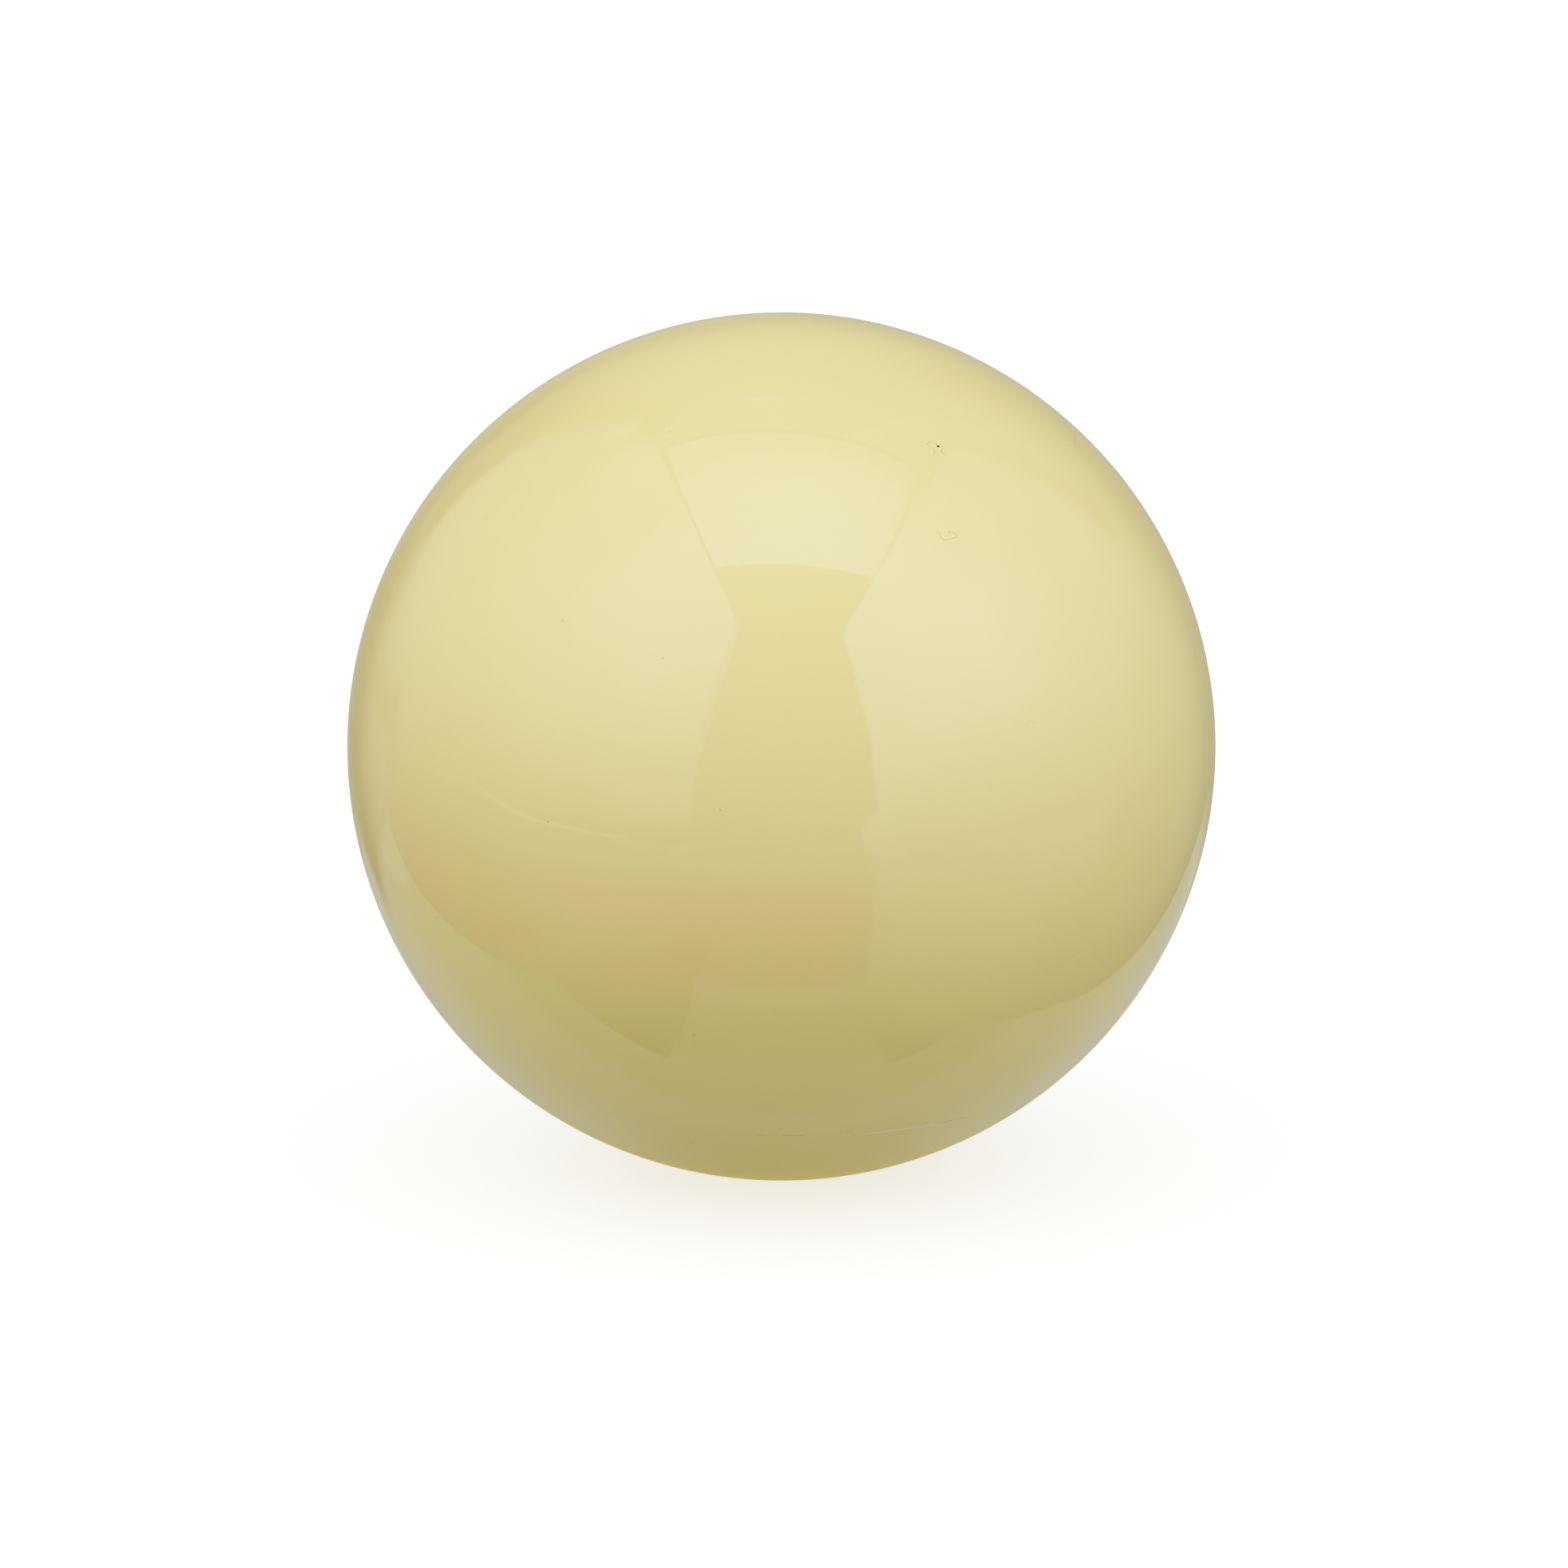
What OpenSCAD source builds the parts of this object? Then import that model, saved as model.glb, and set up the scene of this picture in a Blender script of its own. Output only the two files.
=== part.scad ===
// Cue ball for pool and billiards.
// The real ball is one homogeneous casting in phenolic resin. It is turned,
// ground to a true sphere and polished all over, so it has no core,
// shell, plug, inlay, seam or fastener, and it is one solid here too.
// The origin is the centre of the ball. +Z is up, away from the cloth, and the
// ball meets the cloth at the single point (0, 0, -ball_d / 2).

/* [Ball] */
// Diameter in mm. Made sizes: 47.6 and 50.8 pub pool, 52.5 snooker, 57.15 pool, 61.5 carom, 68 pyramid
ball_d = 57.15; // [47.6:0.05:68]

/* [Preview] */
// Facets round the ball when it is previewed. The ball itself is a true sphere
facets = 180; // [48:12:240]

/* [Hidden] */

// The whole ball: one solid sphere of cream phenolic resin
module ball() {
    color([0.890, 0.847, 0.643])
        sphere(d = ball_d, $fn = facets);
}

ball();
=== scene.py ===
import math
import random

import bmesh
import bpy
import numpy as np
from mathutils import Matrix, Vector


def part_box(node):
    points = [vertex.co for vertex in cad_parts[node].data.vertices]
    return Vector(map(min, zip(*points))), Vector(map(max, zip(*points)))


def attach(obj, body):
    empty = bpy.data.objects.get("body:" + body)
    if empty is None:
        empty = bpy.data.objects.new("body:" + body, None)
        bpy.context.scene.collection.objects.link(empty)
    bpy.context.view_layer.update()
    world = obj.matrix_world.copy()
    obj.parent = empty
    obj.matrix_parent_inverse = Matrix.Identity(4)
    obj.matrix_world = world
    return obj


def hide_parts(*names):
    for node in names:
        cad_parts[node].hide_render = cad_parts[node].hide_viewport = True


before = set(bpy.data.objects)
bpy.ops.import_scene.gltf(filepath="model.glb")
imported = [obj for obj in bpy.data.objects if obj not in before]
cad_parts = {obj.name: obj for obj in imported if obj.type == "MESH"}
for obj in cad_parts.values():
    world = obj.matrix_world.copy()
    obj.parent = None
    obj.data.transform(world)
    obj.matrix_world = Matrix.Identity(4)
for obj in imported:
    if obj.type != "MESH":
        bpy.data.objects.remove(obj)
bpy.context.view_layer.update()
scene = bpy.context.scene

# ---------------------------------------------------------------- the ball's size, from the frame
lo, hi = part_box("ball")
CENTRE = (lo + hi) / 2
RADIUS = min((hi - lo)) / 2          # stays inside the CAD box all round
FLOOR_Z = -0.028575

# the frame the picture is taken in
FRAME = 1932
BALL_PX = (962.8, 919.8, 535.1)      # centre and radius of the ball's outline
ELEVATION = 15.0
DISTANCE = 1.0


# ---------------------------------------------------------------- a short way to write shader nodes
class Nodes:
    """Builds a node tree from arithmetic. A value is a number or an output socket."""

    def __init__(self, tree):
        self.tree = tree

    def new(self, kind, **values):
        node = self.tree.nodes.new(kind)
        for key, value in values.items():
            setattr(node, key, value)
        return node

    def put(self, socket, value):
        if isinstance(value, bpy.types.NodeSocket):
            self.tree.links.new(value, socket)
        else:
            socket.default_value = value

    def math(self, op, *args, clamp=False):
        node = self.new("ShaderNodeMath", operation=op, use_clamp=clamp)
        for socket, value in zip(node.inputs, args):
            self.put(socket, value)
        return node.outputs[0]

    def mul(self, a, b): return self.math("MULTIPLY", a, b)
    def add(self, a, b): return self.math("ADD", a, b)
    def sub(self, a, b): return self.math("SUBTRACT", a, b)
    def div(self, a, b): return self.math("DIVIDE", a, b)
    def max(self, a, b): return self.math("MAXIMUM", a, b)
    def min(self, a, b): return self.math("MINIMUM", a, b)
    def abs(self, a): return self.math("ABSOLUTE", a)
    def sin(self, a): return self.math("SINE", a)
    def asin(self, a): return self.math("ARCSINE", a)
    def sqrt(self, a): return self.math("SQRT", a)
    def atan2(self, a, b): return self.math("ARCTAN2", a, b)

    def mix(self, a, b, m):
        span = b - a if isinstance(a, (int, float)) and isinstance(b, (int, float)) else self.sub(b, a)
        return self.math("MULTIPLY_ADD", span, m, a)

    def step(self, v, a, b):
        node = self.new("ShaderNodeMapRange", interpolation_type="SMOOTHSTEP")
        self.put(node.inputs["Value"], v)
        self.put(node.inputs["From Min"], a)
        self.put(node.inputs["From Max"], b)
        return node.outputs[0]

    def ramp(self, v, points):
        """A smooth gradient through the (position, value) points, level beyond its ends."""
        x0, x1 = points[0][0], points[-1][0]
        top = max(abs(p[1]) for p in points)
        low = min(p[1] for p in points)
        span = max(top - low, 1e-6)
        unit = self.new("ShaderNodeMapRange", clamp=True)
        self.put(unit.inputs["Value"], v)
        unit.inputs["From Min"].default_value = x0
        unit.inputs["From Max"].default_value = x1
        node = self.new("ShaderNodeFloatCurve")
        curve = node.mapping.curves[0]
        while len(curve.points) > 2:
            curve.points.remove(curve.points[-1])
        for i, (x, y) in enumerate(points):
            at = ((x - x0) / (x1 - x0), (y - low) / span)
            if i in (0, len(points) - 1):
                p = curve.points[0 if i == 0 else -1]
                p.location = at
            else:
                p = curve.points.new(*at)
            p.handle_type = "AUTO_CLAMPED"
        node.mapping.update()
        self.put(node.inputs["Value"], unit.outputs[0])
        return self.math("MULTIPLY_ADD", node.outputs[0], span, low)


# ---------------------------------------------------------------- the light
def studio(o, x, y, z):
    """The studio seen from the ball in the direction (x, y, z): a large softbox on each side of the camera, a white
    panel overhead between them, a plain wall behind the camera, a dim room behind the ball, and a table below.
    Gives its brightness, how pink the light off the lower wall is, and the cream light in the ball's own shadow."""
    az = o.mul(o.atan2(x, o.mul(y, -1)), 57.29578)
    el = o.mul(o.asin(z), 57.29578)
    # softbox on the left: brightness by height, then by how far round it is
    left = o.ramp(el, [(-62, .25), (-50, .56), (-38, .95), (-26, 1.46), (-11, 1.86), (-1.5, 2.43), (8, 3.0), (24, 3.68), (36, 4.1), (48, 4.38), (70, 4.6)])
    fall = o.ramp(az, [(-165, .15), (-152, .24), (-146, .36), (-140, .42), (-135, .46), (-128, .52), (-120, .58), (-100, .73), (-80, .86), (-60, .97), (-40, 1.0), (-17, .98)])
    top = o.ramp(az, [(-150, .38), (-140, .46), (-134, .55), (-126, .66), (-117, .75), (-100, .80), (-80, .87), (-60, .97), (-40, 1.0)])
    left = o.mul(left, o.mix(fall, top, o.step(el, 44, 60)))
    left = o.mul(left, o.sub(1, o.mul(.28, o.mul(o.mul(o.step(el, -7, -26), o.step(el, -42, -34)), o.mul(o.step(az, -136, -122), o.step(az, -48, -95))))))
    left = o.mul(left, o.sub(1, o.mul(.2, o.mul(o.mul(o.step(el, -9, -6), o.step(el, -.5, -3)), o.mul(o.step(az, -142, -134), o.step(az, -120, -126))))))
    left = o.mul(left, o.add(1, o.mul(.20, o.mul(o.mul(o.step(el, 41, 45.5), o.step(el, 53, 49)), o.step(az, -132, -140)))))
    left = o.mul(left, o.sub(1, o.mul(.055, o.mul(o.step(el, 44, 53), o.mul(o.step(az, -55, -70), o.step(az, -130, -116))))))
    left = o.mul(left, o.add(1, o.mul(.09, o.mul(o.mul(o.step(el, -9, -6), o.step(el, 7, -2)), o.step(az, -54, -38)))))
    left = o.mul(left, o.add(1, o.mul(.08, o.mul(o.mul(o.step(el, -11, -12.5), o.step(el, -22, -15)), o.step(az, -48, -38)))))
    # softbox on the right
    right = o.ramp(el, [(-66, .42), (-50, .95), (-38, 1.42), (-26, 1.92), (-10, 2.52), (3, 3.14), (14, 3.78), (20, 4.16), (40, 4.7), (70, 4.75)])
    low = o.ramp(az, [(20, 1.04), (32, 1.02), (58, 1.0), (80, .88), (100, .73), (120, .51), (135, .36), (150, .21), (165, .14)])
    high = o.ramp(az, [(20, .94), (32, .95), (45, 1.0), (62, 1.0), (80, .88), (92, .775), (103, .68), (113, .59), (121, .525), (128, .465), (134, .42), (165, .3)])
    high = o.mul(high, o.add(1, o.mul(.16, o.mul(o.step(el, 32, 46), o.step(az, 104, 122)))))
    right = o.mul(right, o.mix(low, high, o.step(el, 6, 22)))
    right = o.mul(right, o.sub(1, o.mul(.2, o.mul(o.step(el, -14, -34), o.step(az, 60, 100)))))
    right = o.mul(right, o.add(1, o.mul(.05, o.mul(o.mul(o.step(el, 18, 26), o.step(el, 40, 32)), o.step(az, 112, 122)))))
    right = o.mul(right, o.add(1, o.mul(.08, o.mul(o.step(el, 38, 48), o.mul(o.step(az, 92, 101), o.step(az, 116, 106))))))
    right = o.mul(right, o.sub(1, o.mul(.05, o.mul(o.step(el, 38, 46), o.mul(o.step(az, 52, 64), o.step(az, 90, 82))))))
    right = o.mul(right, o.add(1, o.mul(.065, o.mul(o.step(el, -10, -17), o.mul(o.step(az, 62, 74), o.step(az, 100, 88))))))
    right = o.mul(right, o.sub(1, o.mul(.10, o.mul(o.mul(o.step(el, -4, -13), o.step(el, -27, -22)), o.mul(o.step(az, 92, 104), o.step(az, 136, 126))))))
    right = o.mul(right, o.add(1, o.mul(.06, o.mul(o.mul(o.step(el, 36, 43), o.step(el, 52, 46)), o.step(az, 38, 24)))))
    # the wall between them, and the room behind the ball
    gap = o.ramp(el, [(-52, .74), (-38, 1.04), (-20, 1.66), (3, 2.08), (32, 2.6), (64, 3.0)])
    back = o.ramp(el, [(-25, .30), (-5, .40), (3, .45), (11, .56), (17, .70), (32, 1.18), (54, 1.98), (60, 2.36), (74, 2.75)])
    back = o.mul(back, o.sub(1, o.mul(.22, o.mul(o.mul(o.step(az, -172, -160), o.step(az, -120, -146)), o.step(el, 16, 6)))))
    back = o.mul(back, o.sub(1, o.mul(.09, o.mul(o.mul(o.step(az, 70, 100), o.step(az, 158, 147)), o.step(el, 50, 62)))))
    back = o.mul(back, o.add(1, o.mul(.12, o.mul(o.step(az, -145, -158), o.step(el, 8, 0)))))
    back = o.add(back, o.mul(.12, o.mul(o.mul(o.step(el, -1, 4), o.step(el, 16, 10)), o.mul(o.step(az, -164, -156), o.step(az, -144, -149)))))
    back = o.add(back, o.mul(o.ramp(az, [(130, .50), (142, .46), (150, .24), (160, 0)]), o.mul(o.step(az, 90, 110), o.step(el, 12, 22))))
    ledge = o.ramp(el, [(-48, -29), (-43, -23.5), (-38, -21.2), (-27, -23.2), (-9, -24.5), (4, -22.8), (20, -20), (35, -17.2), (46, -15.2)])
    redge = o.ramp(el, [(-48, 28.3), (-38, 26.5), (-16, 24.6), (-9.3, 20.4), (-1, 24.8), (7, 24.4), (16, 24.15), (30, 22.75), (44, 21.7)])
    # their upper edges are straight lines just outside the overhead panel
    ltop = o.sub(o.add(o.mul(x, -1), o.mul(y, -.14)), o.mul(z, .395))
    rtop = o.sub(o.add(x, o.mul(y, -.16)), o.mul(z, .55))
    lm = o.mul(o.step(o.sub(ledge, az), -.6, .6), o.step(ltop, -.012, .002))
    rm = o.mul(o.step(o.sub(az, redge), -.8, .8), o.step(rtop, -.011, .002))
    left = o.mul(left, o.add(1, o.mul(.045, o.mul(o.step(az, -62, -40), o.mul(o.step(el, 8, 22), o.step(el, 46, 36))))))
    left = o.mul(left, o.sub(1, o.mul(.09, o.mul(o.step(o.sub(ledge, az), 3.6, 1.2), o.mul(o.step(el, 10, 20), o.step(el, 46, 36))))))
    seam = o.sub(el, o.ramp(az, [(-97, -3.6), (-84, -7.0), (-71, -9.7), (-58, -10.3), (-42, -10.9), (-24, -9.8)]))
    streak = o.mul(o.mul(o.step(seam, -1.0, -.45), o.step(seam, .4, -.15)), o.mul(o.step(az, -97, -80), o.step(az, -36, -44)))
    left = o.mul(left, o.add(1, o.mul(streak, .34)))
    line = o.mul(o.mul(o.step(seam, -1.2, -.4), o.step(seam, .6, -.2)), o.mul(o.step(az, -46, -38), o.step(az, -20, -26)))
    left = o.mul(left, o.sub(1, o.mul(line, .15)))
    seam = o.sub(el, o.ramp(az, [(27, -10.8), (48, -11.4), (72, -9.4), (89, -8.2), (109, -6.2), (123, -4)]))
    line = o.mul(o.mul(o.step(seam, -2.4, -.1), o.step(seam, 2.4, .1)), o.mul(o.step(az, 24, 34), o.step(az, 128, 100)))
    right = o.mul(right, o.sub(1, o.mul(line, .05)))
    lend = o.mix(o.step(az, -157, -133), o.step(az, -149.5, -144), o.step(el, 2, 13))
    rend = o.mix(o.step(az, 166, 144), o.step(az, 137, 131), o.step(el, 10, 22))
    # the overhead panel, and the narrow wedges of wall between it and the softboxes
    iz = o.div(1, o.max(z, .05))
    cx, cy = o.mul(x, iz), o.mul(y, iz)
    near = o.ramp(cx, [(-.31, -.478), (0, -.487), (.15, -.496), (.45, -.505)])
    inner = o.mul(o.step(o.sub(cy, near), -.009, .009), o.step(z, .3, .35))
    wedge = o.mix(o.mix(3.08, 3.3, o.step(x, -.1, .1)), back, o.step(y, 0, .28))
    front = o.mix(o.mix(o.mix(gap, wedge, inner), left, lm), right, rm)
    e = o.mix(back, front, o.mul(lend, rend))
    up = o.step(z, .3, .35)
    ceil = o.ramp(cy, [(-.48, 5.07), (-.27, 4.84), (-.06, 4.45), (.06, 3.95), (.15, 3.60), (.22, 3.45), (.32, 3.32)])
    ceil = o.mul(ceil, o.ramp(cx, [(-.45, .94), (-.2, .99), (.15, 1.0), (.5, .92)]))
    ceil = o.mul(ceil, o.sub(1, o.mul(.08, o.mul(o.step(cy, .14, .26), o.step(cx, -.30, -.12)))))
    lim_l = o.ramp(cy, [(-.47, -.312), (-.28, -.338), (.1, -.388), (.34, -.406)])
    lim_r = o.ramp(cy, [(-.49, .462), (-.2, .488), (.11, .505), (.23, .517)])
    far = o.ramp(cx, [(-.40, .338), (-.27, .323), (-.1, .305), (.07, .284), (.35, .269), (.52, .233)])
    across = o.mul(o.step(o.sub(cx, lim_l), -.006, .006), o.step(o.sub(lim_r, cx), -.008, .008))
    along = o.mul(o.step(o.sub(cy, near), -.009, .009), o.step(o.sub(far, cy), -.008, .012))
    e = o.mul(e, o.sub(1, o.mul(.10, o.mul(o.mul(across, up), o.mul(o.step(o.sub(cy, far), .035, .012), o.step(o.sub(cy, far), -.03, -.01))))))
    e = o.mix(e, ceil, o.mul(o.mul(across, along), up))
    # table under the ball, with the ball's own shadow behind it and a pale strip in front
    iz = o.div(-1, o.min(z, -.05))
    tx, ty = o.mul(x, iz), o.mul(y, iz)
    down = o.step(z, -.1, -.12)
    table = o.ramp(o.atan2(x, o.mul(y, -1)), [(-2.6, .78), (-1.4, .84), (0, .86), (1.4, .88), (2.6, .84)])
    shade = o.mul(o.ramp(ty, [(.10, 0), (.29, .25), (.53, .64), (.84, .82), (1.6, 1.0)]),
                  o.ramp(o.abs(tx), [(0, 1), (.12, .9), (.4, .28), (.75, 0)]))
    table = o.mul(o.mul(table, o.sub(1, shade)), o.ramp(ty, [(-.10, .80), (.05, .80), (.20, .97), (.32, 1.02), (1.0, 1.0), (1.6, .93), (2.3, .8)]))
    dip = o.mul(o.mul(o.step(ty, -.42, -.33), o.step(ty, -.14, -.24)), o.step(o.abs(tx), .45, .25))
    table = o.mul(table, o.sub(1, o.mul(dip, .3)))
    table = o.mul(table, o.add(1, o.mul(.25, o.mul(o.mul(o.step(ty, 1.2, 1.5), o.step(ty, 2.25, 2.0)), o.step(tx, -1.5, -1.68)))))
    lside = o.ramp(ty, [(-.09, -1.01), (.23, -1.20), (.81, -1.55), (1.13, -1.72), (2.15, -2.45)])
    rside = o.ramp(ty, [(-.05, .695), (0, .708), (.22, .815), (.42, .90), (.72, .965), (1.1, 1.055), (1.5, 1.125), (2.2, 1.25)])
    tm = o.mul(o.mul(o.step(o.sub(tx, lside), -.012, .012), o.step(o.sub(rside, tx), -.015, .015)),
               o.mul(o.step(o.add(ty, o.mul(tx, -.03)), -.104, -.086), o.mix(o.step(ty, 2.3, 1.9), o.step(ty, 3.4, 2.5), o.step(tx, -1.2, -.85))))
    strip = o.ramp(ty, [(-.80, 1.0), (-.71, .98), (-.63, .80), (-.55, .66), (-.42, .60), (-.32, .54), (-.24, .56), (-.11, .73)])
    sleft = o.ramp(ty, [(-.79, -.436), (-.67, -.42), (-.44, -.377), (-.1, -.365)])
    sright = o.ramp(ty, [(-.77, .394), (-.6, .363), (-.44, .334), (-.1, .334)])
    sm = o.mul(o.mul(o.step(o.sub(tx, sleft), -.012, .012), o.step(o.sub(sright, tx), -.012, .012)), o.mul(o.step(ty, -.78, -.755), o.step(ty, -.07, -.10)))
    e = o.mix(e, strip, o.mul(sm, down))
    e = o.mix(e, table, o.mul(tm, down))
    pink = o.mul(o.mul(o.step(el, o.ramp(az, [(-150, 0), (-110, -4), (-80, -14)]), -26), o.step(el, -58, -48)), o.mul(o.step(az, -160, -130), o.step(az, 42, 14)))
    pink = o.mul(pink, o.sub(1, o.mul(tm, down)))
    cream = o.mul(o.mul(shade, tm), down)
    # warm light off the wall between the softboxes, and off the far side of the room
    bare = o.mul(o.mul(o.sub(1, lm), o.sub(1, rm)), o.mul(o.sub(1, inner), o.step(y, .1, -.1)))
    cream = o.add(cream, o.mul(bare, o.ramp(el, [(-30, 0), (-8, .15), (2, .38), (11, .5), (19, .8), (28, 1.0), (62, 1.15)])))
    away = o.sub(o.mul(y, .966), o.mul(z, .259))
    cream = o.add(cream, o.mul(o.ramp(away, [(.76, 0), (.848, .06), (.90, .12), (.94, .22), (1, .32)]), o.step(z, -.42, -.28)))
    return e, pink, cream


def colour(o, e, pink, cream):
    out = o.new("ShaderNodeCombineColor")
    for socket, p, c in zip(out.inputs, (.12, -.30, -.02), (.62, .53, .22)):
        o.put(socket, o.add(o.mul(e, o.math("MULTIPLY_ADD", pink, p, 1)), o.mul(cream, c)))
    return out.outputs[0]


# The light that falls on matt surfaces: brightest from both sides and above, dimmest from behind the ball and below.
# It is level everywhere, plus a share of each direction or product of two directions.
SOFT = {"": .709, "x": -.0104, "y": -.241, "z": .514, "xy": .0236, "yz": -.079, "xz": -.043, "zz": .186, "xx": .2532, "yy": -.2532}

world = bpy.data.worlds.new("studio_light")
scene.world = world
world.use_nodes = True
tree = world.node_tree
tree.nodes.clear()
o = Nodes(tree)
split = o.new("ShaderNodeSeparateXYZ")
o.put(split.inputs[0], o.new("ShaderNodeTexCoord").outputs["Generated"])
axis = dict(zip("xyz", split.outputs))
level = SOFT[""]
for name, amount in SOFT.items():
    if name:
        term = axis[name] if len(name) == 1 else o.mul(axis[name[0]], axis[name[1]])
        level = o.math("MULTIPLY_ADD", term, amount, level)
light = o.new("ShaderNodeBackground")
light.inputs["Color"].default_value = (1, 1, 1, 1)
o.put(light.inputs["Strength"], o.max(level, 0))
plain = o.new("ShaderNodeBackground")
plain.inputs["Color"].default_value = (1, 1, 1, 1)
plain.inputs["Strength"].default_value = 1.8
both = o.new("ShaderNodeMixShader")
o.put(both.inputs[0], o.new("ShaderNodeLightPath").outputs["Is Camera Ray"])
o.put(both.inputs[1], light.outputs[0])
o.put(both.inputs[2], plain.outputs[0])
o.put(o.new("ShaderNodeOutputWorld").inputs["Surface"], both.outputs[0])
world.cycles_visibility.glossy = False
world.cycles_visibility.transmission = False
world.cycles.sampling_method = "MANUAL"
world.cycles.sample_map_resolution = 128


def link(obj):
    scene.collection.objects.link(obj)
    return obj


def only_seen_by(obj, *kinds):
    for kind in ("camera", "diffuse", "glossy", "transmission", "volume_scatter", "shadow"):
        setattr(obj, "visible_" + kind, kind in kinds)


# The dome carries what a polished surface reflects.
mesh = bpy.data.meshes.new("studio_dome")
bm = bmesh.new()
bmesh.ops.create_icosphere(bm, subdivisions=5, radius=10)
bmesh.ops.reverse_faces(bm, faces=bm.faces)
bm.to_mesh(mesh)
bm.free()
dome = link(bpy.data.objects.new("studio_dome", mesh))
only_seen_by(dome, "glossy")
mat = bpy.data.materials.new("studio_dome")
mat.use_nodes = True
mat.cycles.emission_sampling = "NONE"
tree = mat.node_tree
tree.nodes.clear()
o = Nodes(tree)
unit = o.new("ShaderNodeVectorMath", operation="NORMALIZE")
o.put(unit.inputs[0], o.new("ShaderNodeNewGeometry").outputs["Position"])
split = o.new("ShaderNodeSeparateXYZ")
o.put(split.inputs[0], unit.outputs[0])
glow = o.new("ShaderNodeEmission")
o.put(glow.inputs["Color"], colour(o, *studio(o, *split.outputs)))
o.put(o.new("ShaderNodeOutputMaterial").inputs["Surface"], glow.outputs[0])
mesh.materials.append(mat)

# ---------------------------------------------------------------- plain pale floor
mesh = bpy.data.meshes.new("floor")
bm = bmesh.new()
bmesh.ops.create_circle(bm, cap_ends=True, segments=96, radius=4.5)
bm.to_mesh(mesh)
bm.free()
floor = link(bpy.data.objects.new("floor", mesh))
floor.location.z = FLOOR_Z
only_seen_by(floor, "camera")
mat = bpy.data.materials.new("floor")
mat.use_nodes = True
tree = mat.node_tree
tree.nodes.clear()
o = Nodes(tree)
matt = o.new("ShaderNodeBsdfDiffuse")
matt.inputs["Color"].default_value = (.9, .9, .9, 1)
lift = o.new("ShaderNodeEmission")
lift.inputs["Strength"].default_value = .75
total = o.new("ShaderNodeAddShader")
o.put(total.inputs[0], matt.outputs[0])
o.put(total.inputs[1], lift.outputs[0])
o.put(o.new("ShaderNodeOutputMaterial").inputs["Surface"], total.outputs[0])
mesh.materials.append(mat)


# ---------------------------------------------------------------- the ball
def cube_sphere(n):
    """Points and quads of a sphere of radius 1, made from a cube with evenly spaced angles."""
    bm = bmesh.new()
    seen = {}
    angles = [math.tan((i / n - .5) * math.pi / 2) for i in range(n + 1)]
    for axis in range(3):
        for side in (-1, 1):
            for i in range(n):
                for j in range(n):
                    corners = []
                    for a, b in ((i, j), (i + 1, j), (i + 1, j + 1), (i, j + 1)):
                        p = [0, 0, 0]
                        p[axis], p[(axis + 1) % 3], p[(axis + 2) % 3] = side, angles[a] * side, angles[b]
                        p = Vector(p).normalized()
                        key = tuple(round(c, 7) + 0.0 for c in p)
                        if key not in seen:
                            seen[key] = bm.verts.new(p)
                        corners.append(seen[key])
                    bm.faces.new(corners)
    bm.normal_update()
    return bm


# Small marks on the polish, pits and fine hairline scratches, and a painted reflection low on the front, as lines on
# the ball in degrees round and degrees up.
# Each has its width and depth in mm, how dark it is, and its points. A pale mark has a negative darkness.
FLAWS_AND_PAINTED_REFLECTION = [
    (.22, .030, 1.25, [(38.52, 55.34), (38.6, 55.3)]),
    (.070, .008, .38, [(36.03, 56.02), (37.26, 56.33), (37.77, 56.22), (38.56, 55.74)]),
    (.070, .008, .38, [(39.37, 55.40), (39.50, 54.91), (38.91, 54.61), (38.26, 54.37)]),
    (.060, .006, .30, [(36.14, 56.01), (36.37, 55.53), (36.91, 55.22), (36.84, 54.67), (35.93, 53.97)]),
    (.110, .012, .38, [(38.26, 54.37), (38.78, 53.97)]),
    (.085, .008, .27, [(28.27, 42.36), (28.80, 42.15), (28.63, 41.71), (29.09, 41.08), (30.14, 41.16), (31.71, 41.26), (31.80, 41.60),
                       (31.44, 42.03), (30.61, 42.23), (30.59, 41.80)]),
    (.075, .008, .34, [(104.26, 47.27), (98.24, 48.59), (91.66, 49.54), (89.09, 49.67), (89.98, 49.28), (91.71, 48.91), (91.33, 48.56),
                       (90.48, 48.05), (89.28, 47.56), (85.06, 47.70), (83.09, 47.47), (81.45, 47.22)]),
    (.060, .006, .14, [(34.88, 15.34), (35.34, 15.59), (35.98, 15.44), (36.19, 15.14)]),
    (.090, .006, -.8, [(-27.80, 63.63), (-27.7, 63.6)]),
    (.080, .004, -.3, [(-9.5, 66.63), (-6.64, 66.81), (-4, 66.79)]),
    (.080, .004, -.15, [(-12.5, 66.43), (-9.5, 66.63)]),
    (.080, .004, -.15, [(-4, 66.79), (-.5, 66.7)]),
    # painted reflection low on the front, all at one height: the pale pieces are a painted highlight off the edge of a
    # support under the ball, the dark pieces a painted dark line along that edge
    (.130, .005, -.65, [(16.66, -47.62), (21.18, -47.49), (26.28, -47.38), (31.06, -47.57)]),
    (.120, .004, -.55, [(11.86, -47.54), (13.33, -47.60)]),
    (.090, .006, .32, [(31.84, -47.35), (34.69, -47.14), (38.16, -47.08)]),
    (.100, .006, .36, [(.34, -47.08), (4.16, -47.24)]),
    (.090, .005, .26, [(-4.70, -46.97), (-2.96, -47.11)]),
]
for at, dark in (((-55.52, 49.69), .4), ((-34.30, 29.08), .45), ((-17.25, 25.80), .5), ((-7.97, 6.69), .55), ((-31.73, 2.95), .6),
                 ((-54.16, -14.43), .4), ((-12.68, -25.98), .45), ((-18.71, -50.72), .4), ((-29.36, 58.97), .7), ((-69.20, 6.84), .4),
                 ((45.22, -18.82), .5), ((-60.51, 39.69), .45), ((-18.5, -50.56), .6)):
    FLAWS_AND_PAINTED_REFLECTION.append((.10, .010, dark, [at, (at[0] + .06, at[1])]))

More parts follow.
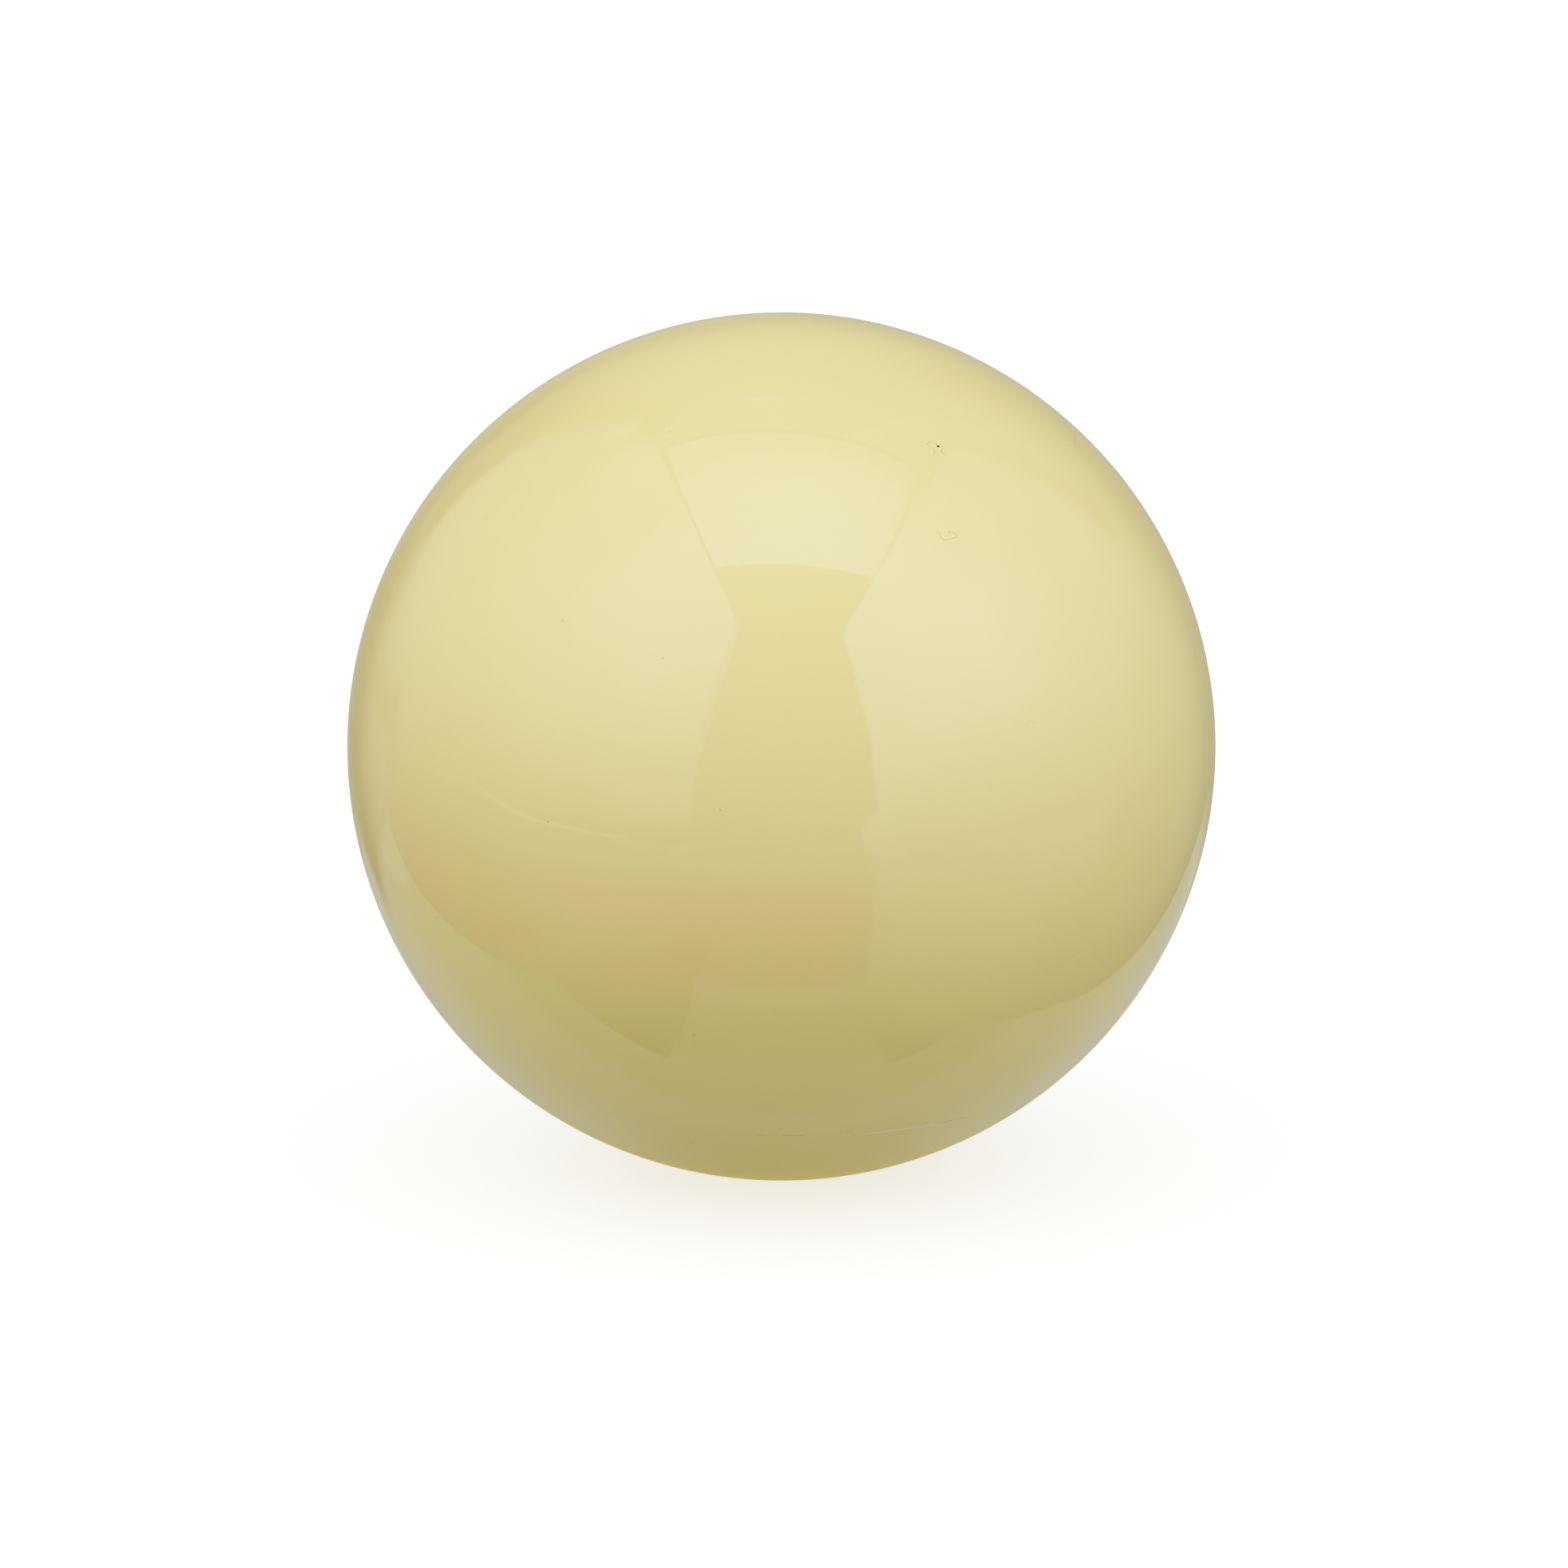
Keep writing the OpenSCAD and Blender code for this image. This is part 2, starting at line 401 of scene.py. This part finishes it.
# the sides, back and underside carry the same few marks
chance = random.Random(11)
for _ in range(15):
    at = (chance.uniform(95, 265), math.degrees(math.asin(chance.uniform(-.9, .8))))
    FLAWS_AND_PAINTED_REFLECTION.append((chance.uniform(.08, .14), .010, chance.uniform(.35, .6), [at, (at[0] + .06, at[1])]))
for _ in range(4):
    a, e = chance.uniform(110, 250), chance.uniform(-45, 45)
    points, way = [(a, e)], chance.uniform(0, 6.3)
    for _ in range(7):
        way += chance.uniform(-.22, .22)
        a, e = a + .7 * math.cos(way), e + .7 * math.sin(way)
        points.append((a, e))
    FLAWS_AND_PAINTED_REFLECTION.append((.065, .006, .28, points))


def on_ball(a, e):
    a, e = math.radians(a), math.radians(e)
    return np.array((math.sin(a) * math.cos(e), -math.cos(a) * math.cos(e), math.sin(e))) * RADIUS


def dots(step):
    """Points along every mark, with the mark each belongs to."""
    out, which = [], []
    for i, (_, _, _, points) in enumerate(FLAWS_AND_PAINTED_REFLECTION):
        corners = [on_ball(*p) for p in points]
        for p, q in zip(corners, corners[1:]):
            n = max(1, int(np.linalg.norm(q - p) / step))
            for k in range(n + 1):
                out.append(p + (q - p) * k / n)
                which.append(i)
    return np.array(out), np.array(which)


TRAIL, OWNER = dots(.00002)
FINE, _ = dots(.00015)
WIDTH, DEPTH, DARK = (np.array([m[k] for m in FLAWS_AND_PAINTED_REFLECTION]) for k in range(3))
HALF, DEPTH = WIDTH[OWNER] * .0005, DEPTH[OWNER] * .001


def marks_at(points):
    """Depth of the surface under each point and how dark and pale it is there."""
    depth, dark, pale = (np.zeros(len(points)) for _ in range(3))
    close = np.zeros(len(points), bool)
    for start in range(0, len(points), 4000):
        part = slice(start, start + 4000)
        gap = np.sqrt(((points[part, None] - FINE[None]) ** 2).sum(2)).min(1)
        close[part] = gap < .0004
    for i in np.nonzero(close)[0]:
        gap = np.sqrt(((points[i] - TRAIL) ** 2).sum(1)) / HALF
        inside = np.clip(1.25 - gap, 0, 1) ** 2 * (3 - 2 * np.clip(1.25 - gap, 0, 1))
        depth[i] = (inside * DEPTH).max()
        shade = inside * DARK[OWNER]
        dark[i], pale[i] = max(shade.max(), 0), max(-shade.min(), 0)
    return depth, dark, pale


bm = cube_sphere(96)
for v in bm.verts:
    v.co = v.co.normalized() * RADIUS
# finer and finer quads near the marks
for reach, longest in ((.00060, .00030), (.00035, .00015), (.00020, .00008), (.00013, .00004)):
    middles = np.array([f.calc_center_median() for f in bm.faces])
    gap = np.full(len(middles), 1.0)
    for start in range(0, len(middles), 4000):
        part = slice(start, start + 4000)
        gap[part] = np.sqrt(((middles[part, None] - FINE[None]) ** 2).sum(2)).min(1)
    bm.faces.ensure_lookup_table()
    edges = set()
    for i in np.nonzero(gap < reach)[0]:
        for edge in bm.faces[i].edges:
            if edge.calc_length() > longest:
                edges.add(edge)
    bmesh.ops.subdivide_edges(bm, edges=list(edges), cuts=1, use_grid_fill=True)
    for v in bm.verts:
        v.co = v.co.normalized() * RADIUS
bmesh.ops.triangulate(bm, faces=[f for f in bm.faces if len(f.verts) > 4])
bmesh.ops.recalc_face_normals(bm, faces=bm.faces)

# the marks' depth, and the exact normals of the surface they leave
skin = np.array([v.co for v in bm.verts])
depth, dark, pale = marks_at(skin)
out_way = skin / np.linalg.norm(skin, axis=1)[:, None]
normals = out_way.copy()
for i in np.nonzero(depth > 0)[0]:
    n = out_way[i]
    t = np.cross(n, (0, 0, 1)); t /= np.linalg.norm(t)
    b = np.cross(n, t)
    h = .000006
    around = np.array([n * RADIUS + s * h * w for w in (t, b) for s in (1, -1)])
    d, _, _ = marks_at(around)
    normals[i] = n + t * (d[0] - d[1]) / (2 * h) + b * (d[2] - d[3]) / (2 * h)
    normals[i] /= np.linalg.norm(normals[i])
for v, co in zip(bm.verts, out_way * (RADIUS - depth)[:, None]):
    v.co = CENTRE + Vector(co)
mesh = bpy.data.meshes.new("ball_body")
bm.to_mesh(mesh)
bm.free()
# how dark and how pale each point is, from the flaws and from the painted reflection low on the front
for name, values in (("mark_dark", dark), ("mark_pale", pale)):
    mesh.attributes.new(name, "FLOAT", "POINT").data.foreach_set("value", values)
mesh.polygons.foreach_set("use_smooth", [True] * len(mesh.polygons))
mesh.normals_split_custom_set_from_vertices([tuple(n) for n in normals])
ball = link(bpy.data.objects.new("ball_body", mesh))

# ---------------------------------------------------------------- cream phenolic resin, polished
mat = bpy.data.materials.new("phenolic_resin")
mat.use_nodes = True
tree = mat.node_tree
tree.nodes.clear()
o = Nodes(tree)
place = o.new("ShaderNodeTexCoord").outputs["Object"]


def noise(scale, detail=2.0, stretch=None, turn=None):
    where = place
    if stretch:
        node = o.new("ShaderNodeMapping")
        node.inputs["Rotation"].default_value = turn
        node.inputs["Scale"].default_value = stretch
        o.put(node.inputs["Vector"], where)
        where = node.outputs[0]
    node = o.new("ShaderNodeTexNoise")
    o.put(node.inputs["Vector"], where)
    node.inputs["Scale"].default_value = scale
    node.inputs["Detail"].default_value = detail
    return node.outputs[0]


def blend(a, b, share):
    """Colour a to colour b by the share, which is a number from 0 to 1."""
    node = o.new("ShaderNodeMix", data_type="RGBA")
    o.put(node.inputs[0], share)
    o.put(node.inputs[6], a)
    o.put(node.inputs[7], b)
    return node.outputs[2]


# the resin's own colour: broad clouds a little warmer or paler, and a fine mottle of pigment
clouds = o.step(noise(70, 3), .3, .7)
mottle = o.step(noise(900, 2), .3, .7)
resin = blend((.785, .664, .239, 1), (.795, .676, .250, 1), clouds)
resin = blend(resin, (.800, .684, .262, 1), o.mul(mottle, .2))
dark_flaws_and_painted_reflection_fac = o.new("ShaderNodeAttribute", attribute_name="mark_dark").outputs["Fac"]
pale_flaws_and_painted_reflection_fac = o.new("ShaderNodeAttribute", attribute_name="mark_pale").outputs["Fac"]
# dark flaws darken the resin and pale ones lighten it; low on the front the same two blends paint a reflection, a
# painted highlight with a painted dark line along its edge
resin = blend(resin, (.085, .066, .012, 1), dark_flaws_and_painted_reflection_fac)
resin = blend(resin, (.95, .93, .80, 1), pale_flaws_and_painted_reflection_fac)
# polish: faint smears from handling, and hairlines too fine to see except where light glances off them
smear = o.step(noise(110, 4), .48, .70)
hair = 0
for turn, stretch in (((.3, .9, .2), (1, 14, 14)), ((1.1, .2, 1.9), (14, 1, 14)), ((2.0, 1.4, .7), (14, 14, 1))):
    strand = noise(240, 0, stretch, turn)
    hair = o.max(hair, o.step(o.abs(o.sub(strand, .5)), .006, 0))
hair = o.mul(hair, o.step(noise(130, 1), .46, .60))
rough = o.add(.031, o.add(o.mul(smear, .009), o.mul(hair, .05)))
rough = o.add(rough, o.mul(o.max(dark_flaws_and_painted_reflection_fac, pale_flaws_and_painted_reflection_fac), .3))
ripple = o.new("ShaderNodeBump")
ripple.inputs["Strength"].default_value = 1.0
ripple.inputs["Distance"].default_value = .0000003
o.put(ripple.inputs["Height"], o.sub(noise(420, 1), o.mul(hair, .35)))
shader = o.new("ShaderNodeBsdfPrincipled")
shader.inputs["IOR"].default_value = 1.63
o.put(shader.inputs["Specular IOR Level"], o.math("MULTIPLY_ADD", dark_flaws_and_painted_reflection_fac, -.5, .5, clamp=True))
o.put(shader.inputs["Base Color"], resin)
o.put(shader.inputs["Roughness"], rough)
o.put(shader.inputs["Normal"], ripple.outputs[0])
o.put(o.new("ShaderNodeOutputMaterial").inputs["Surface"], shader.outputs[0])
mesh.materials.append(mat)

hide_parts("ball")
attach(ball, "root")

# ---------------------------------------------------------------- the camera
camera = link(bpy.data.objects.new("camera", bpy.data.cameras.new("camera")))
lens_px = BALL_PX[2] / math.tan(math.asin(RADIUS / DISTANCE))
camera.data.sensor_width = 36
camera.data.lens = 36 * lens_px / FRAME
camera.data.clip_start = .01
camera.data.clip_end = 30
e = math.radians(ELEVATION)
back_way = Vector((0, -math.cos(e), math.sin(e)))
camera.location = CENTRE + back_way * DISTANCE
right_way, up_way = Vector((1, 0, 0)), Vector((0, math.sin(e), math.cos(e)))
aim = CENTRE - right_way * (BALL_PX[0] - FRAME / 2) / lens_px * DISTANCE + up_way * (BALL_PX[1] - FRAME / 2) / lens_px * DISTANCE
camera.rotation_euler = (aim - camera.location).to_track_quat("-Z", "Y").to_euler()
scene.camera = camera

# ---------------------------------------------------------------- how the picture is developed
view = scene.view_settings
view.view_transform = "Standard"
view.look = "None"
view.exposure = 0
view.gamma = 1
view.use_curve_mapping = True
curves = view.curve_mapping
WHITE = 1.75
curves.white_level = (WHITE, WHITE, WHITE)
curve = curves.curves[3]
levels = [0, .02, .05, .1, .16, .24, .33, .43, .54, .66, .8, .95, 1.1, 1.25, 1.4, 1.5, 1.6, WHITE]
for i, x in enumerate(levels):
    at = (x / WHITE, min(1.0, 1.1 * math.tanh(x) ** 1.2))
    if i in (0, len(levels) - 1):
        curve.points[0 if i == 0 else -1].location = at
    else:
        curve.points.new(*at)
curves.update()

scene.cycles.use_denoising = True
scene.cycles.denoiser = "OPENIMAGEDENOISE"
scene.cycles.denoising_input_passes = "RGB_ALBEDO_NORMAL"
scene.cycles.caustics_reflective = False
scene.cycles.caustics_refractive = False
scene.cycles.max_bounces = 6
